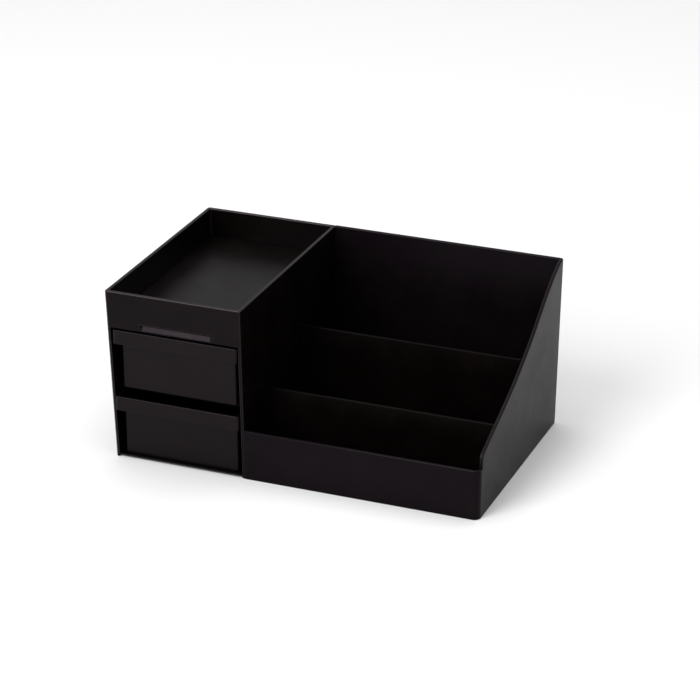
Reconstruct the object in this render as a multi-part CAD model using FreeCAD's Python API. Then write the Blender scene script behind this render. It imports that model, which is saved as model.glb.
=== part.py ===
"""Skincare organizer: a two-drawer cabinet with an open tray on top, beside an open stepped bay.

Sizes are in millimetres. X runs along the front, Y from the front to the back and Z up. The origin
lies on the table, under the middle of the rim's outline.
"""
import FreeCAD, Part
import os

from FreeCAD import Vector

# Outside of the organizer, measured at the rim
length = 260.0
depth = 160.0
height = 120.0

# Outer walls: how far each leans in from the rim to the base, their thickness and standing corners
draft = 2.3
wall = 2.4
floor = 2.4
corner_radius = 2.0

# Cabinet: outer width at the rim, partition to the bay, tray and shelf
cabinet_width = 96.2
partition = 2.2
tray_depth = 20.0
tray_sheet = 2.0
tray_ledge = 1.6
tray_fit = 0.2
fascia_rail = 3.6
shelf_sheet = 2.0
shelf_setback = 11.0
shelf_groove = 0.8
shelf_fit = 0.15

# Front edge of the cabinet's floor slopes back under the doorway by this much
floor_relief = 1.8

# Finger groove along the lower edge of the fascia, hollow like a trough with round ends
groove_width = 53.0
groove_height = 5.0
groove_depth = 1.9
groove_lip = 0.4

# Drawers: the rim is wider than the body, and its front is the pull lip
drawer_wall = 2.0
drawer_floor = 2.0
band_height = 10.0
side_step = 3.2
lip_out = 0.5
face_setback = 5.5
outer_corner = 1.6
inner_corner = 0.8
side_gap = 0.7
slide_gap = 0.25
back_gap = 0.5
rim_gap = 1.2

# Drawer stops: tabs on the drawer's rim meet the fascia rail or the shelf's lip
shelf_headroom = 2.7
tab_clearance = 0.5
tab_length = 8.0
tab_flat_share = 0.4
stop_setback = 13.0
drawer_travel = 100.0

# Bay: low front panel that turns a round corner into the right wall, whose rim sweeps up to the back
panel_height = 35.0
bay_corner = 5.5
rise_setback = 6.6
rise_corner = 3.0

# Sweep of that rim from the rise to the back wall: shares of the depth and of the height
sweep_shares = [(rise_setback / depth, 0.365), (0.150, 0.423), (0.275, 0.488), (0.400, 0.558)]
sweep_shares += [(0.525, 0.644), (0.650, 0.747), (0.775, 0.864), (0.875, 0.947)]
sweep_shares += [(0.935, 0.983), (0.985, 1.000)]

# Dividers of the bay, measured to their front faces from the rim's front
divider = 2.0
front_divider_setback = 34.9
rear_divider_setback = 88.1
divider_drop = 3.0
guide_rib = 1.5
guide_gap = 0.3
guide_drop = 6.0

# Tongue on the cabinet that enters a groove in the edges of the bay's floor and back
tongue = 0.8
tongue_reach = 2.0
tongue_fit = 0.15
tongue_margin = 8.0

# Vee along the joint between cabinet and bay
seam_vee = 0.7

# Cuts run past the faces that they open by this much
overrun = 4.0

left = -length / 2
right = length / 2
front = -depth / 2
back = depth / 2
partition_right = left + cabinet_width
partition_left = partition_right - partition

# Levels of the cabinet, from the tray down to the two equal drawers
tray_top = height - tray_depth
tray_under = tray_top - tray_sheet
fascia_bottom = tray_under - fascia_rail
drawer_height = (fascia_bottom - rim_gap - floor - 2 * slide_gap - shelf_headroom - shelf_sheet) / 2
lower_base = floor + slide_gap
shelf_under = lower_base + drawer_height + shelf_headroom
shelf_top = shelf_under + shelf_sheet
upper_base = shelf_top + slide_gap
stop_y = front + stop_setback


def inset(level):
    """How far an outer wall has leaned in at this level."""
    return draft * (1 - level / height)


def upright(x, y, z):
    """Square block between two values of each of x, y and z."""
    return Part.makeBox(x[1] - x[0], y[1] - y[0], z[1] - z[0], Vector(x[0], y[0], z[0]))


def flat_face(points):
    """Flat face with these corners."""
    return Part.Face(Part.makePolygon(points + points[:1]))


def between(first, second):
    """Solid with flat sides between two outlines that have as many corners each."""
    faces = [flat_face(first), flat_face(second)]
    for corner in range(len(first)):
        faces.append(flat_face([first[corner - 1], first[corner], second[corner], second[corner - 1]]))
    solid = Part.Solid(Part.Shell(faces))
    return solid if solid.Volume > 0 else solid.reversed()


def leaning(x, y, z, x_lean=(0, 0), y_lean=(1, -1)):
    """Block whose sides follow the draft of the outer walls.

    The values of x and y hold at the rim. Below it a side moves towards plus where its lean is 1
    and towards minus where it is -1, and a lean of 0 keeps it upright.
    """
    outlines = []
    for level in z:
        shift = inset(level)
        x0, x1 = [side + lean * shift for side, lean in zip(x, x_lean)]
        y0, y1 = [side + lean * shift for side, lean in zip(y, y_lean)]
        corners = [(x0, y0), (x1, y0), (x1, y1), (x0, y1)]
        outlines.append([Vector(a, b, level) for a, b in corners])
    return between(*outlines)


def round_corners(block, corners):
    """Block with its standing edges rounded that are nearest to these corners of (x, y, radius)."""
    for x, y, radius in corners:
        spans = [(edge, edge.BoundBox) for edge in block.Edges]
        standing = [edge for edge, span in spans if span.ZLength > span.XLength + span.YLength]
        place = Vector(x, y, height / 2)
        nearest = min(standing, key=lambda edge: edge.CenterOfMass.distanceToPoint(place))
        block = block.makeFillet(radius, [nearest])
    return block


def prism_along_x(outline, x):
    """Solid with this outline of (y, z) points, between two values of x."""
    return between(*[[Vector(side, y, z) for y, z in outline] for side in x])


def rounded(x, y, z, radius):
    """Upright block with its four standing edges rounded."""
    block = upright(x, y, z)
    spans = [(edge, edge.BoundBox) for edge in block.Edges]
    standing = [edge for edge, span in spans if span.ZLength > span.XLength + span.YLength]
    return block.makeFillet(radius, standing)


def sweep_curve(x):
    """Curve of the swept rim of the bay's right wall, in the plane at this x."""
    points = [Vector(x, front + depth * along, height * up) for along, up in sweep_shares]
    curve = Part.BSplineCurve()
    curve.interpolate(points)
    return curve.toShape()


def sweep_level(y):
    """Height of that rim at this y."""
    line = Part.makeLine(Vector(0, y, 0), Vector(0, y, 2 * height))
    return sweep_curve(0).distToShape(line)[1][0][0].z


def divider_place(setback):
    """Front and back faces of a divider, and the level of its top."""
    y0 = front + setback
    return (y0, y0 + divider), sweep_level(y0) - divider_drop


dividers = [divider_place(setback) for setback in (front_divider_setback, rear_divider_setback)]


def tongues(fit):
    """Tongues along the floor and up the back, grown by a fit for the groove around them."""
    x = (partition_right - partition / 2, partition_right + tongue_reach + fit)
    half = tongue / 2 + fit
    along = (front + tongue_margin - fit, back - tongue_margin + fit)
    low = upright(x, along, (floor / 2 - half, floor / 2 + half))
    middle = back - wall / 2
    up = (tongue_margin - fit, height - tongue_margin + fit)
    rear = leaning(x, (middle - half, middle + half), up, y_lean=(-1, -1))
    return low.fuse(rear)


def seam():
    """Vee that softens the joint between the cabinet and the bay on the front."""
    outlines = []
    for level in (-overrun, height + overrun):
        face = front + inset(level)
        ends = [(-seam_vee - overrun, -overrun), (seam_vee + overrun, -overrun), (0, seam_vee)]
        outlines.append([Vector(partition_right + x, face + y, level) for x, y in ends])
    return between(*outlines)


def guide_pair(y, top, x, x_lean):
    """Two ribs that hold one end of a divider."""
    z = (floor + slide_gap, top - guide_drop)
    before = (y[0] - guide_gap - guide_rib, y[0] - guide_gap)
    behind = (y[1] + guide_gap, y[1] + guide_gap + guide_rib)
    return [leaning(x, place, z, x_lean, (0, 0)) for place in (before, behind)]


def finger_groove():
    """Trough with round ends, cut into the fascia just above its lower edge."""
    middle = (left + wall + inset(fascia_bottom) + partition_left) / 2
    level = fascia_bottom + groove_lip + groove_height / 2
    radius = (groove_height ** 2 / 4 + groove_depth ** 2) / (2 * groove_depth)
    y = front + inset(level) + groove_depth - radius
    half = groove_width / 2 - groove_height / 2
    ends = [Vector(middle + side * half, y, level) for side in (-1, 1)]
    trough = Part.makeCylinder(radius, 2 * half, ends[0], Vector(1, 0, 0))
    return trough.fuse([Part.makeSphere(radius, end) for end in ends])


def foot_relief():
    """Wedge under the doorway that slopes the floor's front edge back."""
    foot = front + inset(0)
    outline = [(foot - overrun, floor_relief), (foot, floor_relief)]
    outline += [(foot + floor_relief + overrun, -overrun), (foot - overrun, -overrun)]
    return prism_along_x(outline, (left + wall + draft, partition_left))


def shelf_outline(grow):
    """Block that the shelf's sheet fills, grown for the grooves that hold its edges."""
    x = (left + wall - shelf_groove - grow, partition_left + shelf_groove + grow)
    y = (front + shelf_setback - grow, back - wall)
    return leaning(x, y, (shelf_under - grow, shelf_top + grow), (1, 0), (0, -1))


def make_cabinet_shell():
    """Floor, two side walls, back and fascia in one moulding."""
    inside = (left + wall, partition_left)
    lean = (1, 0)
    shell = leaning((left, partition_right), (front, back), (0, height), lean)
    shell = shell.cut(leaning(inside, (front + wall, back - wall), (floor, height + overrun), lean))
    shell = round_corners(shell, [(left, front, corner_radius), (left, back, corner_radius)])
    doorway_y = (front - overrun, front + wall + overrun)
    doorway = leaning(inside, doorway_y, (floor, fascia_bottom), lean, (1, 1))
    shell = shell.cut(doorway)
    rail = leaning(inside, (front + wall / 2, stop_y), (fascia_bottom, tray_under), lean, (1, 0))
    ledge_z = (tray_under - tray_ledge, tray_under)
    ledge = leaning(inside, (front + wall / 2, back - wall), ledge_z, lean)
    bare = (inside[0] + tray_ledge, inside[1] - tray_ledge)
    hole_z = (ledge_z[0] - overrun, ledge_z[1] + overrun)
    ledge = ledge.cut(leaning(bare, (stop_y, back - wall - tray_ledge), hole_z, lean, (0, -1)))
    shell = shell.fuse([rail, ledge])
    shell = shell.cut([finger_groove(), foot_relief(), shelf_outline(shelf_fit), seam()])
    ribs = [tongues(0)]
    for y, top in dividers:
        ribs += guide_pair(y, top, (partition_right - partition / 2, partition_right + guide_rib), (0, 0))
    return shell.fuse(ribs).removeSplitter()


def make_tray_floor():
    """Sheet that drops onto the ledges of the cabinet."""
    x = (left + wall + tray_fit, partition_left - tray_fit)
    y = (front + wall + tray_fit, back - wall - tray_fit)
    return leaning(x, y, (tray_under, tray_top), (1, 0))


def make_drawer_shelf():
    """Sheet between the drawers, with a lip under its front edge."""
    sheet = shelf_outline(0)
    lip_x = (left + wall + shelf_fit, partition_left - shelf_fit)
    lip_z = (shelf_under - shelf_headroom + rim_gap, shelf_under)
    lip = leaning(lip_x, (front + shelf_setback, stop_y), lip_z, (1, 0), (0, 0))
    return sheet.fuse(lip).removeSplitter()


def make_drawer(base):
    """One drawer: a body, a wider rim with the pull lip in front, and two stop tabs.

    Both drawers are alike, so the room inside the leaning walls at the lower one's rim sets the size.
    """
    step = base + drawer_height - band_height
    top = base + drawer_height
    lean_in = inset(lower_base + drawer_height - band_height)
    rim_x = (left + wall + lean_in + side_gap, partition_left - side_gap)
    rim_y = (front - lip_out, back - wall - lean_in - back_gap)
    body_x = (rim_x[0] + side_step, rim_x[1] - side_step)
    body_y = (front + face_setback, rim_y[1] - side_step)
    body = rounded(body_x, body_y, (base, step + drawer_wall), outer_corner)
    body = body.fuse(rounded(rim_x, rim_y, (step, top), outer_corner))
    room_x = (body_x[0] + drawer_wall, body_x[1] - drawer_wall)
    room_y = (body_y[0] + drawer_wall, body_y[1] - drawer_wall)
    wide_x = (rim_x[0] + drawer_wall, rim_x[1] - drawer_wall)
    wide_y = (rim_y[0] + drawer_wall, rim_y[1] - drawer_wall)
    room = rounded(room_x, room_y, (base + drawer_floor, top + overrun), inner_corner)
    wide_room = rounded(wide_x, wide_y, (step + drawer_wall, top + overrun), inner_corner)
    body = body.cut([room, wide_room])
    tab_front = stop_y + drawer_travel
    tab_top = top + shelf_headroom - tab_clearance
    flat_end = tab_front + tab_length * tab_flat_share
    outline = [(tab_front, top), (tab_front, tab_top), (flat_end, tab_top), (tab_front + tab_length, top)]
    sides = [(rim_x[0], wide_x[0]), (wide_x[1], rim_x[1])]
    return body.fuse([prism_along_x(outline, side) for side in sides]).removeSplitter()


def make_swept_wall():
    """Right wall of the bay: as low as the panel in front, then up a rise and along the sweep."""
    block = leaning((right - wall, right), (front, back), (0, height), (-1, -1))
    x = right - wall - draft - overrun
    rim = sweep_curve(x)
    start, end = [rim.valueAt(place) for place in (rim.FirstParameter, rim.LastParameter)]
    outline = [(end.y, height + overrun), (front - overrun, height + overrun)]
    outline += [(front - overrun, panel_height), (start.y, panel_height)]
    corners = [end] + [Vector(x, y, z) for y, z in outline] + [start]
    edges = [Part.makeLine(a, b) for a, b in zip(corners, corners[1:])]
    above = Part.Face(Part.Wire([rim] + edges))
    block = block.cut(above.extrude(Vector(right + overrun - x, 0, 0)))
    corner = Vector(right - wall / 2, start.y, start.z)
    edge = min(block.Edges, key=lambda candidate: candidate.CenterOfMass.distanceToPoint(corner))
    return block.makeFillet(min(rise_corner, start.z - panel_height), [edge])


def make_bay_tub():
    """Floor, low front panel, back and swept right wall in one moulding."""
    x = (partition_right, right)
    plate = leaning(x, (front, back), (0, floor), (0, -1))
    panel_x = (partition_right, right - wall / 2)
    panel = leaning(panel_x, (front, front + wall), (0, panel_height), (0, -1), (1, 1))
    rear = leaning(x, (back - wall, back), (0, height), (0, -1), (-1, -1))
    level = upright((left, right), (front, back), (0, height))
    room = leaning((left, right - wall), (front + wall, back - wall), (floor, height + overrun), (0, -1))
    room = round_corners(room.common(level), [(right - wall, front + wall, bay_corner - wall)])
    web_x, web_y = (right - bay_corner, right), (front, front + bay_corner)
    web = leaning(web_x, web_y, (0, panel_height), (-1, -1), (1, 1))
    pieces = [panel, rear, make_swept_wall(), web.cut(room)]
    for y, top in dividers:
        pieces += guide_pair(y, top, (right - wall - guide_rib, right - wall / 2), (-1, -1))
    outside = leaning(x, (front, back), (-overrun, height + overrun), (0, -1))
    corners = [(right, front, bay_corner), (right, back, corner_radius)]
    tub = plate.fuse(pieces).common(round_corners(outside.common(level), corners))
    return tub.cut([tongues(tongue_fit), seam()]).removeSplitter()


def make_divider(place):
    """Panel across the bay that lifts out of its guide ribs."""
    y, top = place
    x = (partition_right + slide_gap, right - wall - slide_gap)
    return leaning(x, y, (floor, top), (0, -1), (0, 0))


def main():
    """Builds every piece and writes one file for each."""
    pieces = {
        "cabinet_shell": make_cabinet_shell(),
        "tray_floor": make_tray_floor(),
        "drawer_shelf": make_drawer_shelf(),
        "upper_drawer": make_drawer(upper_base),
        "lower_drawer": make_drawer(lower_base),
        "bay_tub": make_bay_tub(),
        "front_divider": make_divider(dividers[0]),
        "rear_divider": make_divider(dividers[1]),
    }
    os.makedirs("parts", exist_ok=True)
    for name, shape in pieces.items():
        solids = shape.Solids
        assert shape.isValid() and len(solids) == 1, name
        solids[0].exportStep(f"parts/{name}.step")


main()
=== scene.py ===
"""Studio model of a black skincare organizer: a two-drawer cabinet with a tray on top, beside a stepped bay.

Sizes are in millimetres and become metres when a mesh is made. X runs along the front from the
cabinet to the bay, Y from the front to the back and Z up. The origin lies on the table, under the
middle of the rim's outline.
"""
import logging
import math
from contextlib import contextmanager
from dataclasses import dataclass, field
from enum import Enum
from typing import Callable, Iterator

import bmesh
import bpy
from mathutils import Matrix, Vector
from mathutils.geometry import interpolate_bezier


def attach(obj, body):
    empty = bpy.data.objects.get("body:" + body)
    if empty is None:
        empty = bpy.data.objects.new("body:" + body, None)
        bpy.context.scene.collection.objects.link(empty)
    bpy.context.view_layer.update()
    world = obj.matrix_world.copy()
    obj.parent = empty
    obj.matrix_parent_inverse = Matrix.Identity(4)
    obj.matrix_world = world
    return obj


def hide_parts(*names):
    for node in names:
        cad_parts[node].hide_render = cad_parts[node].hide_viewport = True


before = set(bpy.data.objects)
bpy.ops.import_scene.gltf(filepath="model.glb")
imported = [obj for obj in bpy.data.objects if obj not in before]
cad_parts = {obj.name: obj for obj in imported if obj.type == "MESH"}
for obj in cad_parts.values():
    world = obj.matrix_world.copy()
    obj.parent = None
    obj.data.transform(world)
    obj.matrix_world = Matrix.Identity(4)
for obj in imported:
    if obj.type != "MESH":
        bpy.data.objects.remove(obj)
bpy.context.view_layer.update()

log = logging.getLogger("organizer")

# Lengths: metres in a millimetre, then in millimetres how far a cutter reaches past a face, how far
# joined blocks overlap, how near a plane a point counts as on it, and what is merged
MM = 0.001
PAST = 4.0
LAP = 1.0
NEAR = 0.02
MERGE = 0.002

# Angles in degrees: edges above the first are sharp and above the second blunt, faces below the third are one
SHARP = 32.0
BLUNT = 20.0
FLAT = 0.4

Span = tuple[float, float]
Triple = tuple[float, float, float]
Socket = bpy.types.NodeSocket
PointTest = Callable[[Vector], bool]
EdgeTest = Callable[[Vector, Vector], bool]


class Element(Enum):
    """What an edit-mode tool picks."""

    VERTEX = (True, False, False)
    EDGE = (False, True, False)
    FACE = (False, False, True)


class Joining(Enum):
    """How one workpiece changes another."""

    CUT = "DIFFERENCE"
    ADD = "UNION"


class Bend(Enum):
    """Which way the faces of an edge turn: around the material, into a hollow, or either."""

    OUTWARD = 1
    INWARD = 2
    EITHER = 3


class Side(Enum):
    """Outer walls that lean in towards the base: the axis, and which end of it."""

    LEFT = (0, -1)
    RIGHT = (0, 1)
    FRONT = (1, -1)
    BACK = (1, 1)


@dataclass(frozen=True)
class Outline:
    """Outside of the organizer at its rim, and its walls."""

    left: float = -130.0
    right: float = 130.0
    front: float = -80.0
    back: float = 80.0
    height: float = 120.0
    draft: float = 2.3
    wall: float = 2.4
    floor: float = 2.4
    partition_left: float = -36.0
    partition_right: float = -33.8
    front_corner: float = 1.4
    back_corner: float = 2.4
    inner_corner: float = 1.0
    rim: float = 0.75
    base_edge: float = 0.6

    def inset(self, level: float) -> float:
        """How far an outer wall has leaned in at this level.

        Args:
            level: Height above the table.

        Returns:
            The distance from the rim's outline.
        """
        return self.draft * (1 - level / self.height)


OUT = Outline()


def at(value: float, *places: float) -> bool:
    """Whether a coordinate lies on one of these planes."""
    return any(abs(value - place) < NEAR for place in places)


def standing(a: Vector, b: Vector) -> bool:
    """Whether an edge is upright."""
    return abs(a.x - b.x) < NEAR and abs(a.y - b.y) < NEAR


def upright(x: tuple[float, ...], y: tuple[float, ...]) -> EdgeTest:
    """Makes a test for upright edges at one of these x and one of these y."""
    return lambda a, b: standing(a, b) and at(a.x, *x) and at(a.y, *y)


def level(*heights: float) -> EdgeTest:
    """Makes a test for edges that lie at one of these heights."""
    return lambda a, b: at(a.z, *heights) and abs(a.z - b.z) < NEAR


def activate(obj: bpy.types.Object) -> None:
    """Makes this object the only selected one, and the active one."""
    bpy.ops.object.select_all(action="DESELECT")
    obj.select_set(True)
    bpy.context.view_layer.objects.active = obj


class Workpiece:
    """A mesh that is shaped with Blender's own tools, with its places given in millimetres."""

    def __init__(self, name: str, x: Span, y: Span, z: Span) -> None:
        """Starts from a cube at its size and place.

        Args:
            name: Name of the object.
            x: Lowest and highest x.
            y: Lowest and highest y.
            z: Lowest and highest z.
        """
        spans = (x, y, z)
        bpy.ops.object.select_all(action="DESELECT")
        bpy.ops.mesh.primitive_cube_add(size=1.0, location=[sum(span) / 2 * MM for span in spans])
        self.obj = bpy.context.active_object
        self.obj.name = self.obj.data.name = name
        bpy.ops.transform.resize(value=[(span[1] - span[0]) * MM for span in spans])
        bpy.ops.object.transform_apply(location=True, rotation=False, scale=True)
        for vertex in self.obj.data.vertices:
            ends = [span[vertex.co[axis] > sum(span) / 2 * MM] for axis, span in enumerate(spans)]
            vertex.co = [end * MM for end in ends]

    @classmethod
    def adopt(cls, obj: bpy.types.Object, name: str) -> "Workpiece":
        """Takes up an object that another tool has made.

        Args:
            obj: The object.
            name: Its new name.

        Returns:
            The workpiece around it.
        """
        piece = cls.__new__(cls)
        piece.obj = obj
        obj.name = obj.data.name = name
        return piece

    @contextmanager
    def editing(self, element: Element) -> Iterator[bmesh.types.BMesh]:
        """Opens edit mode with nothing picked, and leaves it again.

        Args:
            element: What the tools pick.

        Yields:
            The mesh that is being edited.
        """
        activate(self.obj)
        bpy.context.tool_settings.mesh_select_mode = element.value
        bpy.ops.object.mode_set(mode="EDIT")
        bpy.ops.mesh.select_all(action="DESELECT")
        yield bmesh.from_edit_mesh(self.obj.data)
        bpy.ops.object.mode_set(mode="OBJECT")

    def shift(self, test: PointTest, by: Triple) -> None:
        """Moves the corners that pass a test.

        Args:
            test: Says of a corner whether it moves.
            by: How far it moves.
        """
        with self.editing(Element.VERTEX) as mesh:
            for vertex in mesh.verts:
                vertex.select_set(test(vertex.co / MM))
            mesh.select_flush(True)
            bpy.ops.transform.translate(value=[step * MM for step in by])

    def round_edges(self, test: EdgeTest, radius: float, segments: int = 4, sharper: float = SHARP,
                    bend: Bend = Bend.EITHER) -> None:
        """Rounds the sharp edges whose ends pass a test.

        Args:
            test: Says of an edge's two ends whether it is rounded.
            radius: How far the rounding reaches from the edge.
            segments: Facets of the rounding.
            sharper: Least angle in degrees between the faces of an edge that counts as sharp.
            bend: Which edges are meant, where the test doesn't say it.
        """
        with self.editing(Element.EDGE) as mesh:
            picked = 0
            for edge in mesh.edges:
                if len(edge.link_faces) == 2 and math.degrees(edge.calc_face_angle()) > sharper:
                    way = Bend.OUTWARD if edge.is_convex else Bend.INWARD
                    if bend in (way, Bend.EITHER) and test(*[vertex.co / MM for vertex in edge.verts]):
                        edge.select_set(True)
                        picked += 1
            bmesh.update_edit_mesh(self.obj.data)
            log.debug("%s: %d edges rounded by %.2f", self.obj.name, picked, radius)
            if picked:
                bpy.ops.mesh.bevel(offset=radius * MM, offset_type="OFFSET", segments=segments, profile=0.5,
                                   affect="EDGES", clamp_overlap=False, loop_slide=False)

    def slice_off(self, point: Triple, normal: Triple) -> None:
        """Cuts off what lies beyond a plane and closes the cut.

        Args:
            point: A point of the plane.
            normal: Direction towards the side that goes.
        """
        with self.editing(Element.FACE):
            bpy.ops.mesh.select_all(action="SELECT")
            bpy.ops.mesh.bisect(plane_co=[value * MM for value in point],
                                plane_no=Vector(normal).normalized(), use_fill=True, clear_outer=True)

    def apply(self, kind: str, **settings: object) -> None:
        """Adds a modifier with these settings and applies it.

        Args:
            kind: Blender's name of the modifier's type.
            **settings: Values of the modifier.
        """
        modifier = self.obj.modifiers.new(kind.lower(), kind)
        for name, value in settings.items():
            setattr(modifier, name, value)
        activate(self.obj)
        bpy.ops.object.modifier_apply(modifier=modifier.name)

    def combine(self, other: "Workpiece", how: Joining) -> None:
        """Cuts another workpiece away from this one, or adds it, and merges the flat faces that this splits.

        Args:
            other: The workpiece that is used up.
            how: Whether it cuts or adds.
        """
        self.apply("BOOLEAN", operation=how.value, solver="EXACT", object=other.obj)
        bpy.data.meshes.remove(other.obj.data)
        with self.editing(Element.FACE):
            bpy.ops.mesh.select_all(action="SELECT")
            bpy.ops.mesh.remove_doubles(threshold=MERGE * MM)
            bpy.ops.mesh.dissolve_limited(angle_limit=math.radians(FLAT))

    def combine_rounded(self, other: "Workpiece", how: Joining) -> None:
        """Combines another workpiece with this one after its edges are rounded, on triangles.

        Args:
            other: The workpiece that is used up.
            how: Whether it cuts or adds.
        """
        self.apply("TRIANGULATE", quad_method="BEAUTY", ngon_method="BEAUTY")
        self.apply("BOOLEAN", operation=how.value, solver="EXACT", object=other.obj)
        bpy.data.meshes.remove(other.obj.data)
        with self.editing(Element.FACE):
            bpy.ops.mesh.select_all(action="SELECT")
            bpy.ops.mesh.remove_doubles(threshold=MERGE * MM)
            bpy.ops.mesh.dissolve_degenerate(threshold=MERGE * MM)

    def cut(self, x: Span, y: Span, z: Span) -> None:
        """Cuts a square room out of the workpiece."""
        self.combine(Workpiece("cutter", x, y, z), Joining.CUT)

    def lean(self, *sides: Side, reach: float = 6.0, fade: float = 6.0) -> None:
        """Leans the walls on these sides in towards the base.

        Args:
            *sides: The sides whose walls lean.
            reach: How deep behind the rim's outline a point leans with a wall all the way.
            fade: How much deeper the lean runs out.
        """
        for axis, end in (side.value for side in sides):
            rim = ((OUT.left, OUT.right), (OUT.front, OUT.back))[axis][end > 0]
            for vertex in self.obj.data.vertices:
                depth = abs(vertex.co[axis] / MM - rim)
                share = min(max((reach + fade - depth) / fade, 0.0), 1.0)
                vertex.co[axis] -= share * end * OUT.inset(vertex.co.z / MM) * MM

    def mark_gloss_and_highlight(self, gloss_and_highlight: float = 1.0, lowest: float = 3.0, narrow: float = 0.5) -> None:
        """Notes on every narrow face how far it is a glossy edge with a painted highlight, for the finish to
        read.

        Args:
            gloss_and_highlight: How bright the edges are, from 0 to 1.
            lowest: Level above which a face counts.
            narrow: Widest strip that counts as an edge.
        """
        mesh = self.obj.data
        marks = mesh.attributes.new("gloss_and_highlight_mark", "FLOAT", "FACE")
        for face, mark in zip(mesh.polygons, marks.data):
            corners = [mesh.vertices[index].co for index in face.vertices]
            around = sum((a - b).length for a, b in zip(corners, corners[1:] + corners[:1]))
            mark.value = gloss_and_highlight * (2 * face.area < around * narrow * MM and face.center.z > lowest * MM)

    def gloss_and_highlight(self, test: PointTest, amount: float) -> None:
        """Sets the gloss and painted highlight of the faces whose middles pass a test, once the edges are
        marked.

        Args:
            test: Says of a face's middle whether it is polished.
            amount: How bright it is, from 0 to 1.
        """
        mesh = self.obj.data
        for face, mark in zip(mesh.polygons, mesh.attributes["gloss_and_highlight_mark"].data):
            if test(face.center / MM):
                mark.value = amount

    def settle(self, node: str, body: str, slot: str, finish: "PlasticFinish") -> None:
        """Smooths the shading, dresses the piece and ties it to the frame.

        Args:
            node: The CAD node that the piece stands for.
            body: The CAD body that it rides on.
            slot: The record's material slot; not used.
            finish: What it is dressed in.
        """
        activate(self.obj)
        bpy.ops.object.shade_smooth_by_angle(angle=math.radians(SHARP))
        self.apply("WEIGHTED_NORMAL", mode="FACE_AREA", weight=60, keep_sharp=True)
        self.obj.data.materials.clear()
        self.obj.data.materials.append(finish.material())
        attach(self.obj, body)
        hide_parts(node)
        log.info("%s: %d faces, stands for %s on %s", self.obj.name, len(self.obj.data.polygons), node, body)


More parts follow.
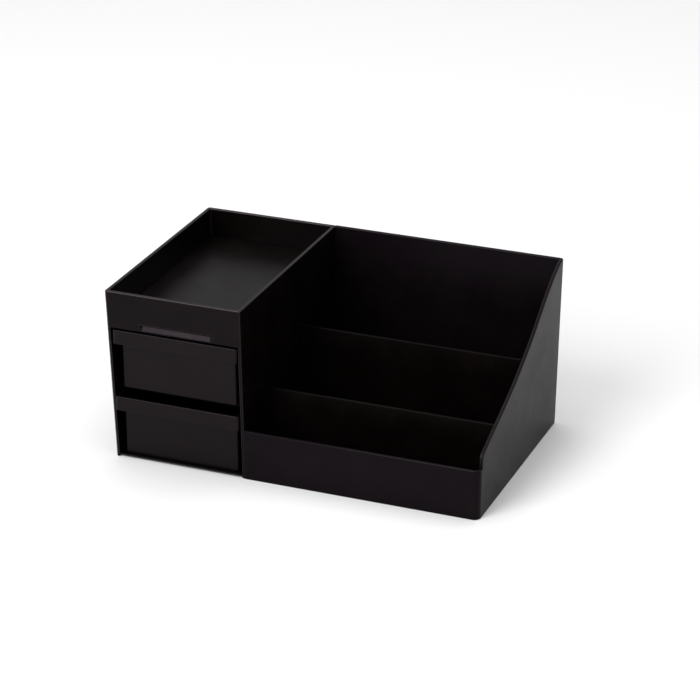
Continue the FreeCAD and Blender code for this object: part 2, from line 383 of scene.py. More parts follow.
@dataclass(frozen=True)
class PlasticFinish:
    """Satin black moulded plastic with a fine grain, faint flow marks, and glossy edges that also carry a
    painted highlight in a lighter colour.
    """

    name: str
    tone: Triple = (0.0016, 0.0010, 0.0008)
    pale: Triple = (0.0026, 0.0018, 0.0015)
    # Lighter colour of the marked edge faces: a painted highlight on top of their real gloss.
    edge: Triple = (0.0080, 0.0070, 0.0072)
    sheen: Triple = (1.0, 0.84, 0.97)
    roughness: Span = (0.28, 0.36)
    edge_roughness: float = 0.24
    specular: float = 0.10
    edge_specular: float = 0.26
    smudge_scale: float = 48.0
    smudge_span: Span = (0.35, 0.65)
    dull_span: Span = (0.3, 0.7)
    speck_scale: float = 900.0
    speck_depth: Span = (-0.02, 0.02)
    grain_scale: float = 2400.0
    grain_depth: float = 0.000012
    grain_strength: float = 0.35
    flow_scale: float = 26.0
    flow_depth: float = 0.00035
    flow_strength: float = 0.12
    seed: float = 0.0

    def material(self) -> bpy.types.Material:
        """Finds the finish's material, or builds it the first time.

        Returns:
            The material.
        """
        found = bpy.data.materials.get(self.name)
        return found if found else self.build()

    def build(self) -> bpy.types.Material:
        """Builds the finish from nodes on the piece's own coordinates.

        Returns:
            The new material.
        """
        material = bpy.data.materials.new(self.name)
        material.use_nodes = True
        nodes, links = material.node_tree.nodes, material.node_tree.links
        shader = nodes["Principled BSDF"]
        shader.inputs["Specular Tint"].default_value = (*self.sheen, 1.0)

        place = nodes.new("ShaderNodeTexCoord")
        mapping = nodes.new("ShaderNodeMapping")
        mapping.inputs["Location"].default_value = (self.seed, self.seed * 0.7, self.seed * 0.3)
        links.new(place.outputs["Object"], mapping.inputs["Vector"])

        def noise(scale: float, detail: float, rough: float = 0.5) -> bpy.types.Node:
            """Adds a noise texture on the piece's coordinates."""
            node = nodes.new("ShaderNodeTexNoise")
            node.inputs["Scale"].default_value = scale
            node.inputs["Detail"].default_value = detail
            node.inputs["Roughness"].default_value = rough
            links.new(mapping.outputs["Vector"], node.inputs["Vector"])
            return node

        def between(value: Socket, source: Span, target: Span) -> Socket:
            """Maps a value from one range to another."""
            node = nodes.new("ShaderNodeMapRange")
            for name, number in zip(("From Min", "From Max", "To Min", "To Max"), (*source, *target)):
                node.inputs[name].default_value = number
            links.new(value, node.inputs["Value"])
            return node.outputs["Result"]

        def mix(factor: Socket, first: object, second: object, kind: str) -> Socket:
            """Mixes two colours or two numbers, each a socket or a constant."""
            node = nodes.new("ShaderNodeMix")
            node.data_type = kind
            ends = [s for s in node.inputs if s.enabled and s.name in ("A", "B")]
            for socket, value in zip(ends, (first, second)):
                if isinstance(value, Socket):
                    links.new(value, socket)
                else:
                    socket.default_value = (*value, 1.0) if kind == "RGBA" else value
            links.new(factor, next(s for s in node.inputs if s.enabled and s.name == "Factor"))
            return next(s for s in node.outputs if s.enabled)

        smudge = noise(self.smudge_scale, 4.0, 0.6)
        speck = noise(self.speck_scale, 2.0)
        edges = nodes.new("ShaderNodeAttribute")
        edges.attribute_name = "gloss_and_highlight_mark"

        cloud = between(smudge.outputs["Fac"], self.smudge_span, (0.0, 1.0))
        colour = mix(cloud, self.tone, self.pale, "RGBA")
        # Painted highlight: marked edge faces are mixed towards the lighter edge colour, besides their lower
        # roughness and higher specular.
        colour = mix(edges.outputs["Fac"], colour, self.edge, "RGBA")
        links.new(colour, shader.inputs["Base Color"])

        dull = between(smudge.outputs["Fac"], self.dull_span, self.roughness)
        fine = between(speck.outputs["Fac"], self.dull_span, self.speck_depth)
        total = nodes.new("ShaderNodeMath")
        total.operation = "ADD"
        links.new(dull, total.inputs[0])
        links.new(fine, total.inputs[1])
        rough = mix(edges.outputs["Fac"], total.outputs["Value"], self.edge_roughness, "FLOAT")
        links.new(rough, shader.inputs["Roughness"])
        gloss = between(edges.outputs["Fac"], (0.0, 1.0), (self.specular, self.edge_specular))
        links.new(gloss, shader.inputs["Specular IOR Level"])

        flow = nodes.new("ShaderNodeBump")
        flow.inputs["Strength"].default_value = self.flow_strength
        flow.inputs["Distance"].default_value = self.flow_depth
        links.new(noise(self.flow_scale, 1.0).outputs["Fac"], flow.inputs["Height"])
        grain = nodes.new("ShaderNodeBump")
        grain.inputs["Strength"].default_value = self.grain_strength
        grain.inputs["Distance"].default_value = self.grain_depth
        links.new(noise(self.grain_scale, 2.0).outputs["Fac"], grain.inputs["Height"])
        links.new(flow.outputs["Normal"], grain.inputs["Normal"])
        links.new(grain.outputs["Normal"], shader.inputs["Normal"])
        return material


@dataclass
class DividerPlace:
    """Where a divider stands in the bay: its faces and the level of its top."""

    name: str
    y: Span
    top: float
    rib: float = 1.5
    rib_edge: float = 0.45
    gap: float = 0.3
    drop: float = 6.0
    foot: float = 2.65

    def ribs(self, name: str, x: Span, open_side: float) -> Iterator[Workpiece]:
        """Makes the two ribs that hold one end of the divider, with a rounded lead-in at their tops.

        Args:
            name: Name of the ribs.
            x: Lowest and highest x of a rib.
            open_side: The x of the rib's free face.

        Yields:
            Each rib.
        """
        before = (self.y[0] - self.gap - self.rib, self.y[0] - self.gap)
        behind = (self.y[1] + self.gap, self.y[1] + self.gap + self.rib)
        for place in (before, behind):
            rib = Workpiece(name, x, place, (self.foot, self.top - self.drop))
            rib.round_edges(lambda a, b: at(a.x, open_side) and at(b.x, open_side), self.rib_edge, segments=3)
            yield rib


@dataclass
class Tongue:
    """Tongue on the cabinet that enters the edges of the bay's floor and back."""

    thickness: float = 0.8
    reach: float = 2.0
    root: float = 1.1
    margin: float = 8.0
    fit: float = 0.15

    def parts(self, fit: float) -> Iterator[Workpiece]:
        """Makes the tongue along the floor and the one up the back.

        Args:
            fit: How much each is grown, for the groove around it.

        Yields:
            Each tongue.
        """
        x = (OUT.partition_right - self.root, OUT.partition_right + self.reach + fit)
        half = self.thickness / 2 + fit
        along = (OUT.front + self.margin - fit, OUT.back - self.margin + fit)
        yield Workpiece("floor_tongue", x, along, (OUT.floor / 2 - half, OUT.floor / 2 + half))
        middle = OUT.back - OUT.wall / 2
        up = (self.margin - fit, OUT.height - self.margin + fit)
        yield Workpiece("back_tongue", x, (middle - half, middle + half), up)


@dataclass
class Cabinet:
    """Cabinet moulding: floor, side walls, back and fascia, open at the front and on top."""

    tray_under: float = 98.0
    fascia_bottom: float = 94.4
    rail_back: float = -67.0
    ledge: float = 1.6
    seam: float = 0.8
    # Gloss and painted highlight of the partition's standing front edge.
    seam_gloss_and_highlight: float = 0.3
    floor_corner: float = 0.8
    front_edge: float = 0.35
    fine_edge: float = 0.15
    relief: float = 1.9
    trough_middle: float = -79.8
    trough_half: float = 23.6
    trough_z: Span = (95.3, 99.5)
    trough_radius: float = 12.0
    trough_blunt: float = 0.45
    trough_turn: float = 38.0
    trough_depth: float = 1.9
    trough_roof: Triple = (0.0, 1.5, 1.9)
    # Gloss and faint painted highlight of the finger groove.
    trough_gloss_and_highlight: float = 0.08
    slot_y: float = -69.15
    slot_z: Span = (48.0, 50.3)
    slot_reach: float = 0.95
    tongue: Tongue = field(default_factory=Tongue)

    def build(self, dividers: list[DividerPlace]) -> Workpiece:
        """Models the moulding.

        Args:
            dividers: The dividers whose guide ribs stand on the partition.

        Returns:
            The finished shape.
        """
        x_in = (OUT.left + OUT.wall, OUT.partition_left)
        y_in = (OUT.front + OUT.wall, OUT.back - OUT.wall)
        shell = Workpiece("cabinet_moulding", (OUT.left, OUT.partition_right), (OUT.front, OUT.back),
                          (0, OUT.height))
        shell.cut(x_in, (OUT.front - PAST, y_in[1]), (OUT.floor, self.fascia_bottom))
        shell.cut(x_in, (self.rail_back, y_in[1]), (self.fascia_bottom - LAP, self.tray_under - self.ledge))
        hole_x = (x_in[0] + self.ledge, x_in[1] - self.ledge)
        shell.cut(hole_x, (self.rail_back, y_in[1] - self.ledge), (self.fascia_bottom, self.tray_under + LAP))
        shell.cut(x_in, y_in, (self.tray_under, OUT.height + PAST))
        shell.combine(self.foot_relief(x_in), Joining.CUT)
        shell.combine(self.finger_trough(), Joining.CUT)
        self.round_doorway(shell, x_in)
        self.round_walls(shell, x_in, y_in)
        # Narrow edge faces get gloss and a painted highlight in a lighter colour; the finger groove gets a
        # faint one and the partition's front edge a weaker one.
        shell.mark_gloss_and_highlight()
        shell.gloss_and_highlight(self.in_trough, self.trough_gloss_and_highlight)
        shell.gloss_and_highlight(self.at_seam, self.seam_gloss_and_highlight)
        slot_x = (x_in[0] - self.slot_reach, x_in[1] + self.slot_reach)
        shell.combine_rounded(Workpiece("slot", slot_x, (self.slot_y, y_in[1]), self.slot_z), Joining.CUT)
        for part in self.tongue.parts(0.0):
            shell.combine_rounded(part, Joining.ADD)
        for divider in dividers:
            face = OUT.partition_right + divider.rib
            for rib in divider.ribs("guide", (OUT.partition_right - LAP, face), face):
                shell.combine_rounded(rib, Joining.ADD)
        shell.lean(Side.LEFT, Side.FRONT, Side.BACK)
        return shell

    def round_walls(self, shell: Workpiece, x_in: Span, y_in: Span) -> None:
        """Rounds the standing corners, the rim and the edges of the base.

        Args:
            shell: The moulding.
            x_in: Inner faces of the side walls.
            y_in: Inner faces of the front and the back.
        """

        def of_floor(a: Vector, b: Vector) -> bool:
            """Whether an edge runs along the floor's inside, behind the doorway."""
            return level(OUT.floor)(a, b) and max(a.y, b.y) > OUT.front + 2 * LAP

        shell.round_edges(upright((OUT.left,), (OUT.front,)), OUT.front_corner, segments=5)
        shell.round_edges(upright((OUT.left,), (OUT.back,)), OUT.back_corner, segments=7)
        for y in (OUT.front, OUT.back):
            shell.round_edges(upright((OUT.partition_right,), (y,)), self.seam)
        shell.round_edges(upright(x_in, y_in), OUT.inner_corner, segments=5)
        shell.round_edges(level(OUT.height), OUT.rim)
        shell.round_edges(level(0.0), OUT.base_edge, segments=3)
        shell.round_edges(of_floor, self.floor_corner)

    def foot_relief(self, x_in: Span) -> Workpiece:
        """Makes the wedge that slopes the floor's front edge back under the doorway.

        Args:
            x_in: Inner faces of the side walls.

        Returns:
            The cutter.
        """
        reach = self.relief + PAST
        wedge = Workpiece("relief", x_in, (OUT.front - PAST, OUT.front + reach), (-PAST, self.relief))
        wedge.shift(lambda p: at(p.y, OUT.front + reach) and at(p.z, self.relief), (0, -reach, 0))
        return wedge

    def finger_trough(self) -> Workpiece:
        """Makes the cutter of the finger groove: a ball pulled out along the fascia, under a flat roof.

        Returns:
            The cutter.
        """
        reach = self.trough_radius * math.cos(math.radians(self.trough_turn))
        drop = self.trough_radius * math.sin(math.radians(self.trough_turn))
        low, high = self.trough_z
        place = [value * MM for value in (self.trough_middle, OUT.front - reach, low + drop)]
        bpy.ops.object.select_all(action="DESELECT")
        bpy.ops.mesh.primitive_uv_sphere_add(segments=96, ring_count=41, radius=self.trough_radius * MM,
                                             location=place, rotation=(0, math.pi / 2, 0))
        bpy.ops.transform.resize(value=(self.trough_blunt, 1.0, 1.0))
        bpy.ops.object.transform_apply(location=True, rotation=True, scale=True)
        ball = Workpiece.adopt(bpy.context.active_object, "trough")
        for sign in (-1, 1):
            ball.shift(lambda p: sign * (p.x - self.trough_middle) > 0, (sign * self.trough_half, 0, 0))
        ball.slice_off((self.trough_middle, OUT.front, high), self.trough_roof)
        return ball

    def in_trough(self, middle: Vector) -> bool:
        """Whether a face with this middle lies in the finger groove."""
        behind = 0.05 < middle.y - OUT.front < self.trough_depth + LAP
        beside = abs(middle.x - self.trough_middle) < self.trough_half + PAST
        return behind and beside and self.trough_z[0] < middle.z < self.trough_z[1]

    def at_seam(self, middle: Vector) -> bool:
        """Whether a face with this middle lies on the partition's standing front edge."""
        near = abs(middle.x - OUT.partition_right) < self.seam and abs(middle.y - OUT.front) < self.seam
        return near and middle.z < OUT.height - OUT.rim

    def round_doorway(self, shell: Workpiece, x_in: Span) -> None:
        """Softens the front edges of the doorway and of the finger groove above it.

        Args:
            shell: The moulding.
            x_in: Inner faces of the side walls.
        """

        def in_front(a: Vector, b: Vector) -> bool:
            """Whether an edge lies on the front, between the outer edges of the side walls."""
            within = all(x_in[0] - 0.1 < p.x < x_in[1] + 0.1 for p in (a, b))
            return within and at(a.y, OUT.front) and at(b.y, OUT.front)

        def of_fascia(a: Vector, b: Vector) -> bool:
            """Whether an edge of the front belongs to the fascia."""
            return in_front(a, b) and min(a.z, b.z) > self.fascia_bottom - 0.1

        def of_frame(a: Vector, b: Vector) -> bool:
            """Whether an edge of the front belongs to a side wall or the floor."""
            return in_front(a, b) and min(a.z, b.z) > OUT.floor - 0.1 and not of_fascia(a, b)

        shell.round_edges(of_fascia, self.fine_edge, segments=2, sharper=BLUNT)
        shell.round_edges(of_frame, self.front_edge, segments=3, sharper=BLUNT)


@dataclass
class TraySheet:
    """Sheet that lies on the cabinet's ledges as the floor of the tray."""

    z: Span = (98.0, 100.0)
    fit: float = 0.2
    corner: float = 1.1
    edge: float = 0.35

    def build(self) -> Workpiece:
        """Models the sheet.

        Returns:
            The finished shape.
        """
        x = (OUT.left + OUT.wall + self.fit, OUT.partition_left - self.fit)
        y = (OUT.front + OUT.wall + self.fit, OUT.back - OUT.wall - self.fit)
        sheet = Workpiece("tray_sheet", x, y, self.z)
        sheet.round_edges(standing, self.corner, segments=5)
        sheet.round_edges(level(*self.z), self.edge, segments=3)
        # Narrow edge faces get gloss and a painted highlight in a lighter colour.
        sheet.mark_gloss_and_highlight()
        sheet.lean(Side.LEFT, Side.FRONT, Side.BACK)
        return sheet


@dataclass
class ShelfSheet:
    """Sheet between the drawers, with a lip under its front edge."""

    z: Span = (48.15, 50.15)
    front: float = -69.0
    lip_back: float = -67.0
    lip_z: Span = (46.65, 49.0)
    reach: float = 0.8
    fit: float = 0.15
    edge: float = 0.35

    def build(self) -> Workpiece:
        """Models the shelf.

        Returns:
            The finished shape.
        """
        inner = (OUT.left + OUT.wall, OUT.partition_left)
        x = (inner[0] - self.reach, inner[1] + self.reach)
        sheet = Workpiece("shelf_sheet", x, (self.front, OUT.back - OUT.wall), self.z)
        lip_x = (inner[0] + self.fit, inner[1] - self.fit)
        sheet.combine(Workpiece("lip", lip_x, (self.front, self.lip_back), self.lip_z), Joining.ADD)
        sheet.round_edges(lambda a, b: at(a.y, self.front) and at(b.y, self.front), self.edge, segments=3)
        # Narrow edge faces get gloss and a painted highlight in a lighter colour.
        sheet.mark_gloss_and_highlight()
        sheet.lean(Side.LEFT)
        return sheet


@dataclass
class DrawerBox:
    """Drawer with a body, a wider rim whose front is the pull lip, and two stop tabs."""

    rim_x: Span = (-125.28, -36.70)
    rim_y: Span = (-80.5, 75.48)
    body_x: Span = (-122.08, -39.90)
    body_y: Span = (-74.5, 72.28)
    base: float = 2.65
    step: float = 35.45
    top: float = 45.45
    rise: float = 47.75
    wall: float = 2.0
    corner: float = 1.6
    inner_corner: float = 0.8
    rim: float = 0.6
    base_edge: float = 0.4
    band_edge: float = 0.5
    floor_corner: float = 0.7
    tab_x: Span = (0.15, 1.85)
    tab_y: Span = (33.1, 41.0)
    tab_flat: float = 3.1
    tab_height: float = 2.2
    tab_edge: float = 0.25

    def shrunk(self, span: Span) -> Span:
        """The room between two walls of this outline."""
        return (span[0] + self.wall, span[1] - self.wall)

    def rounded_block(self, name: str, x: Span, y: Span, z: Span, radius: float) -> Workpiece:
        """Makes a block with round standing edges.

        Args:
            name: Name of the block.
            x: Lowest and highest x.
            y: Lowest and highest y.
            z: Lowest and highest z.
            radius: Radius of the standing edges.

        Returns:
            The block.
        """
        block = Workpiece(name, x, y, z)
        block.round_edges(standing, radius, segments=6)
        return block

    def build(self, name: str) -> Workpiece:
        """Models the lower drawer.

        Args:
            name: Name of the piece.

        Returns:
            The finished shape.
        """
        body_z = (self.base, self.step + self.wall / 2)
        box = self.rounded_block(name, self.body_x, self.body_y, body_z, self.corner)
        band = self.rounded_block("band", self.rim_x, self.rim_y, (self.step, self.top), self.corner)
        box.combine(band, Joining.ADD)
        for hollow, x, y, under in (("room", self.body_x, self.body_y, self.base),
                                    ("wide", self.rim_x, self.rim_y, self.step)):
            z = (under + self.wall, self.top + PAST)
            cutter = self.rounded_block(hollow, self.shrunk(x), self.shrunk(y), z, self.inner_corner)
            box.combine(cutter, Joining.CUT)
        box.round_edges(level(self.top), self.rim)
        box.round_edges(level(self.base), self.base_edge)
        box.round_edges(level(self.step), self.band_edge, segments=3)
        box.round_edges(level(self.step + self.wall), self.band_edge, segments=3)
        box.round_edges(level(self.base + self.wall), self.floor_corner, segments=3)
        box.mark_gloss_and_highlight(gloss_and_highlight=0.0)
        near, far = self.tab_x
        left, right = self.rim_x
        for x in ((left + near, left + far), (right - far, right - near)):
            box.combine_rounded(self.tab(x), Joining.ADD)
        return box

    def tab(self, x: Span) -> Workpiece:
        """Makes one stop tab with a sloped tail.

        Args:
            x: Lowest and highest x of the tab.

        Returns:
            The tab.
        """
        top = self.top + self.tab_height
        tab = Workpiece("tab", x, self.tab_y, (self.top - LAP, top))
        tail = self.tab_y[1] - self.tab_y[0] - self.tab_flat
        tab.shift(lambda p: at(p.y, self.tab_y[1]) and at(p.z, top), (0, -tail, 0))
        tab.round_edges(lambda a, b: max(a.z, b.z) > self.top, self.tab_edge, segments=2)
        return tab

    def raised_copy(self, source: Workpiece, name: str) -> Workpiece:
        """Copies the drawer to the upper place, with a mesh of its own.

        Args:
            source: The lower drawer.
            name: Name of the copy.

        Returns:
            The copy.
        """
        activate(source.obj)
        bpy.ops.object.duplicate(linked=False)
        copy = Workpiece.adopt(bpy.context.active_object, name)
        bpy.ops.transform.translate(value=(0, 0, self.rise * MM))
        bpy.ops.object.transform_apply(location=True, rotation=False, scale=False)
        return copy


@dataclass
class Bay:
    """Bay moulding: floor, low front panel, back and the right wall whose rim sweeps up to the back."""

    panel: float = 35.0
    corner: float = 4.6
    rise: float = -74.6
    rise_corner: float = 2.1
    sweep: tuple[Span, ...] = ((-74.6, 43.8), (-56.0, 50.8), (-36.0, 58.6), (-16.0, 67.0), (4.0, 77.3),
                               (24.0, 89.6), (44.0, 103.7), (60.0, 113.6), (69.6, 118.0), (76.0, 120.0))
    sweep_steps: int = 5
    rim: float = 0.7
    # Gloss and painted highlight of the right wall's rim, and of the other narrow edges.
    rim_gloss_and_highlight: float = 0.9
    edge_gloss_and_highlight: float = 0.15
    floor_corner: float = 0.9
    seam: float = 0.4
    tongue: Tongue = field(default_factory=Tongue)

    def build(self, dividers: list[DividerPlace]) -> Workpiece:
        """Models the moulding.

        Args:
            dividers: The dividers whose guide ribs stand on the right wall.

        Returns:
            The finished shape.
        """
        inner = OUT.right - OUT.wall
        tub = Workpiece("bay_moulding", (OUT.partition_right, OUT.right), (OUT.front, OUT.back),
                        (0, OUT.height))
        room_y = (OUT.front + OUT.wall, OUT.back - OUT.wall)
        room = Workpiece("room", (OUT.partition_right - PAST, inner), room_y, (OUT.floor, OUT.height + PAST))
        for y, radius in zip(room_y, (self.corner - OUT.wall, OUT.inner_corner)):
            room.round_edges(upright((inner,), (y,)), radius, segments=7)
        tub.combine(room, Joining.CUT)
        self.cut_front(tub, inner)
        self.round_rim(tub)
        # Narrow edge faces get a faint gloss and painted highlight in a lighter colour; the right wall's rim
        # above the panel gets a strong one.
        tub.mark_gloss_and_highlight(self.edge_gloss_and_highlight)
        tub.gloss_and_highlight(lambda p: NEAR / 2 < p.x - inner < self.rim and p.z > self.panel + LAP, self.rim_gloss_and_highlight)
        for part in self.tongue.parts(self.tongue.fit):
            tub.combine_rounded(part, Joining.CUT)
        for divider in dividers:
            face = inner - divider.rib
            for rib in divider.ribs("guide", (face, OUT.right - OUT.wall / 2), face):
                tub.combine_rounded(rib, Joining.ADD)
        tub.lean(Side.RIGHT, Side.FRONT, Side.BACK)
        return tub

    def sweep_points(self) -> list[Vector]:
        """Follows the sweep of the right wall's rim, from before the rise to the back.

        Returns:
            Points of the rim, in order.
        """
        knots = [Vector((0.0, y, z)) for y, z in self.sweep]
        before = [2 * knots[0] - knots[1]] + knots
        after = knots[1:] + [knots[-1] + Vector((0.0, PAST, 0.0))]
        slopes = [(b.z - a.z) / (b.y - a.y) for a, b in zip(before, after)]
        points = [knots[0] - PAST * Vector((0.0, 1.0, slopes[0]))]
        for a, b, slope_a, slope_b in zip(knots, knots[1:], slopes, slopes[1:]):
            third = (b.y - a.y) / 3
            leave = a + third * Vector((0.0, 1.0, slope_a))
            arrive = b - third * Vector((0.0, 1.0, slope_b))
            points += interpolate_bezier(a, leave, arrive, b, self.sweep_steps + 1)[:-1]
        return points + knots[-1:]

    def cut_front(self, tub: Workpiece, inner: float) -> None:
        """Cuts the front down to the panel and the right wall down to its sweep, with a round start.

        Args:
            tub: The moulding.
            inner: Inner face of the right wall.
        """
        x = (OUT.partition_right - PAST, OUT.right + PAST)
        tub.cut(x, (OUT.front - PAST, self.rise), (self.panel, OUT.height + PAST))
        points = self.sweep_points()
        ends = (points[0].y, points[-1].y)
        above = Workpiece("above", (inner - LAP, OUT.right + PAST), ends, (self.panel, OUT.height + PAST))
        with above.editing(Element.FACE):
            for point in points[1:-1]:
                bpy.ops.mesh.select_all(action="SELECT")
                bpy.ops.mesh.bisect(plane_co=point * MM, plane_no=(0, 1, 0))
        for vertex in above.obj.data.vertices:
            if at(vertex.co.z / MM, self.panel):
                vertex.co.z = min(points, key=lambda p: abs(p.y - vertex.co.y / MM)).z * MM
        tub.combine(above, Joining.CUT)

        def over_rise(a: Vector, b: Vector) -> bool:
            """Whether an edge crosses the wall where the sweep starts, on top of the rise."""
            y, z = self.sweep[0]
            return all(at(p.y, y) and at(p.z, z) for p in (a, b)) and abs(a.x - b.x) > LAP

        tub.round_edges(over_rise, self.rise_corner, segments=7, sharper=BLUNT)

    def round_rim(self, tub: Workpiece) -> None:
        """Rounds the standing corners, the floor, the rim and the base.

        Args:
            tub: The moulding.
        """
        for y, radius, segments in ((OUT.front, self.corner, 12), (OUT.back, OUT.back_corner, 7)):
            tub.round_edges(upright((OUT.right,), (y,)), radius, segments)
        tub.round_edges(upright((OUT.partition_right,), (OUT.front, OUT.back)), self.seam, segments=2)

        def of_floor(a: Vector, b: Vector) -> bool:
            """Whether an edge runs along the floor's inside."""
            return level(OUT.floor)(a, b) and max(a.x, b.x) > OUT.partition_right + LAP

        def clear(a: Vector, b: Vector) -> bool:
            """Whether an edge is clear of the seam along the cabinet."""
            return max(a.x, b.x) > OUT.partition_right + self.seam + 0.1

        def of_rim(a: Vector, b: Vector) -> bool:
            """Whether an edge runs along the rim, inside or outside."""
            tall_corner = standing(a, b) and max(a.y, b.y) > self.rise + LAP
            return min(a.z, b.z) > self.panel - 0.1 and clear(a, b) and not tall_corner

        tub.round_edges(of_floor, self.floor_corner)
        tub.round_edges(of_rim, self.rim, bend=Bend.OUTWARD)
        tub.round_edges(lambda a, b: level(0.0)(a, b) and clear(a, b), OUT.base_edge, segments=3)


@dataclass
class DividerPanel:
    """Panel across the bay that lifts out of its guide ribs."""

    place: DividerPlace
    fit: float = 0.25
    top_edge: float = 0.4
    edge: float = 0.35

    def build(self) -> Workpiece:
        """Models the panel.

        Returns:
            The finished shape.
        """
        x = (OUT.partition_right + self.fit, OUT.right - OUT.wall - self.fit)
        panel = Workpiece(self.place.name + "_panel", x, self.place.y, (OUT.floor, self.place.top))
        panel.round_edges(level(self.place.top), self.top_edge)
        panel.round_edges(standing, self.edge, segments=2)
        panel.mark_gloss_and_highlight(gloss_and_highlight=0.0)
        panel.lean(Side.RIGHT)
        return panel


@dataclass(frozen=True)
class PhotoCamera:
    """Camera at the photograph's viewing angle, fitted to the organizer's corners."""

    eye: Triple = (0.6280, -1.5047, 0.8005)
    azimuth: float = 22.37
    elevation: float = 24.271
    roll: float = -0.45
    lens: float = 138.7
    sensor: float = 36.0
    clip: Span = (0.05, 50.0)

    def build(self) -> None:
        """Makes the camera and gives it to the scene."""
        turn, rise, roll = (math.radians(v) for v in (self.azimuth, self.elevation, self.roll))
        backward = Vector((math.sin(turn) * math.cos(rise), -math.cos(turn) * math.cos(rise), math.sin(rise)))
        across = Vector((math.cos(turn), math.sin(turn), 0.0))
        upward = backward.cross(across)
        right = across * math.cos(roll) + upward * math.sin(roll)
        up = upward * math.cos(roll) - across * math.sin(roll)
        data = bpy.data.cameras.new("photo_camera")
        data.lens, data.sensor_width = self.lens, self.sensor
        data.clip_start, data.clip_end = self.clip
        camera = bpy.data.objects.new("photo_camera", data)
        bpy.context.scene.collection.objects.link(camera)
        turned = Matrix((right, up, backward)).transposed().to_4x4()
        camera.matrix_world = Matrix.Translation(self.eye) @ turned
        bpy.context.scene.camera = camera


@dataclass(frozen=True)
class SoftLight:
    """A softbox, so wide and so high, that looks at the organizer."""

    name: str
    place: Triple
    size: Span
    power: float
    target: Triple = (0.0, 0.0, 0.05)

    def build(self) -> None:
        """Adds the light."""
        data = bpy.data.lights.new(self.name, "AREA")
        data.shape, data.energy = "RECTANGLE", self.power
        data.size, data.size_y = self.size
        light = bpy.data.objects.new(self.name, data)
        bpy.context.scene.collection.objects.link(light)
        light.location = self.place
        light.rotation_euler = (Vector(self.target) - Vector(self.place)).to_track_quat("-Z", "Y").to_euler()


@dataclass(frozen=True)
class PaperFinish:
    """Pale, dull paper with a faint fibre."""

    name: str
    tone: Triple = (0.83, 0.83, 0.83)
    roughness: float = 0.9
    specular: float = 0.1
    fibre_scale: float = 900.0
    fibre_depth: float = 0.0001
    fibre_strength: float = 0.05

    def build(self) -> bpy.types.Material:
        """Builds the finish from nodes on the floor's own coordinates.

        Returns:
            The new material.
        """
        material = bpy.data.materials.new(self.name)
        material.use_nodes = True
        nodes, links = material.node_tree.nodes, material.node_tree.links
        shader = nodes["Principled BSDF"]
        shader.inputs["Base Color"].default_value = (*self.tone, 1.0)
        shader.inputs["Roughness"].default_value = self.roughness
        shader.inputs["Specular IOR Level"].default_value = self.specular
        place = nodes.new("ShaderNodeTexCoord")
        fibre = nodes.new("ShaderNodeTexNoise")
        fibre.inputs["Scale"].default_value = self.fibre_scale
        bump = nodes.new("ShaderNodeBump")
        bump.inputs["Strength"].default_value = self.fibre_strength
        bump.inputs["Distance"].default_value = self.fibre_depth
        links.new(place.outputs["Object"], fibre.inputs["Vector"])
        links.new(fibre.outputs["Fac"], bump.inputs["Height"])
        links.new(bump.outputs["Normal"], shader.inputs["Normal"])
        return material


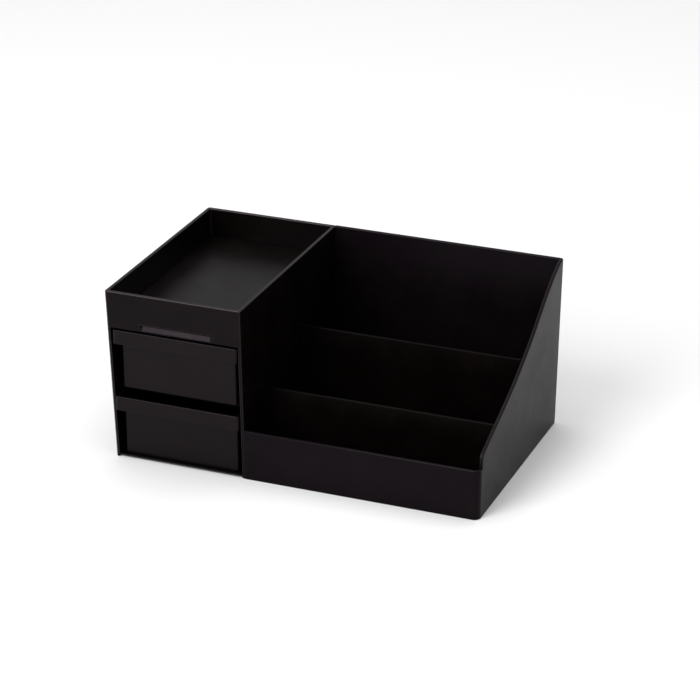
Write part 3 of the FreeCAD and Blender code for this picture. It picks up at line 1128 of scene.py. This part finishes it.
@dataclass
class Studio:
    """Pale floor, soft light and a bright surround."""

    floor_size: float = 30.0
    paper: PaperFinish = PaperFinish("floor_paper")
    horizon: float = 0.58
    zenith: float = 0.80
    lights: tuple[SoftLight, ...] = (
        SoftLight("top_softbox", (0.0, 0.35, 1.8), (1.6, 1.6), 11.0),
        SoftLight("front_softbox", (-0.70, -1.73, 1.42), (1.1, 1.9), 42.0),
    )

    def build(self) -> None:
        """Makes the floor, the lights, the surround and the tone of the picture."""
        self.make_floor()
        for light in self.lights:
            light.build()
        self.make_surround()
        bpy.context.scene.view_settings.view_transform = "Standard"

    def make_floor(self) -> None:
        """Lays the pale floor."""
        bpy.ops.object.select_all(action="DESELECT")
        bpy.ops.mesh.primitive_plane_add(size=self.floor_size, location=(0, 0, 0))
        floor = bpy.context.active_object
        floor.name = "studio_floor"
        floor.data.materials.append(self.paper.build())

    def make_surround(self) -> None:
        """Surrounds the scene with a soft gradient, brighter overhead."""
        world = bpy.data.worlds.new("surround")
        bpy.context.scene.world = world
        world.use_nodes = True
        nodes, links = world.node_tree.nodes, world.node_tree.links
        place = nodes.new("ShaderNodeTexCoord")
        split = nodes.new("ShaderNodeSeparateXYZ")
        ramp = nodes.new("ShaderNodeMapRange")
        ramp.inputs["To Min"].default_value = self.horizon
        ramp.inputs["To Max"].default_value = self.zenith
        links.new(place.outputs["Generated"], split.inputs["Vector"])
        links.new(split.outputs["Z"], ramp.inputs["Value"])
        links.new(ramp.outputs["Result"], nodes["Background"].inputs["Strength"])
        nodes["Background"].inputs["Color"].default_value = (1.0, 1.0, 1.0, 1.0)


def main() -> None:
    """Builds the organizer piece by piece, then the studio."""
    logging.basicConfig(level=logging.INFO, format="%(message)s")
    case = PlasticFinish("case_satin_plastic", specular=0.09)
    tray = PlasticFinish("tray_satin_plastic", seed=0.37)
    bay = PlasticFinish("bay_satin_plastic", tone=(0.0029, 0.0019, 0.0026), pale=(0.0038, 0.0027, 0.0034),
                        specular=0.06, seed=0.53)
    drawers = PlasticFinish("drawer_satin_plastic", specular=0.135, seed=0.71)
    panels = PlasticFinish("divider_dull_plastic", specular=0.04, seed=0.19)
    dividers = [DividerPlace("front_divider", (-45.1, -43.1), 52.6),
                DividerPlace("rear_divider", (8.1, 10.1), 75.4)]

    PhotoCamera().build()
    Cabinet().build(dividers).settle("cabinet_shell", "case", "case_plastic", case)
    TraySheet().build().settle("tray_floor", "case", "case_plastic", tray)
    ShelfSheet().build().settle("drawer_shelf", "case", "case_plastic", case)
    box = DrawerBox()
    lower = box.build("lower_drawer_box")
    upper = box.raised_copy(lower, "upper_drawer_box")
    lower.settle("lower_drawer", "lower_drawer", "drawer_plastic", drawers)
    upper.settle("upper_drawer", "upper_drawer", "drawer_plastic", drawers)
    Bay().build(dividers).settle("bay_tub", "case", "case_plastic", bay)
    for place in dividers:
        DividerPanel(place).build().settle(place.name, place.name, "case_plastic", panels)
    Studio().build()


if __name__ == "__main__":
    main()
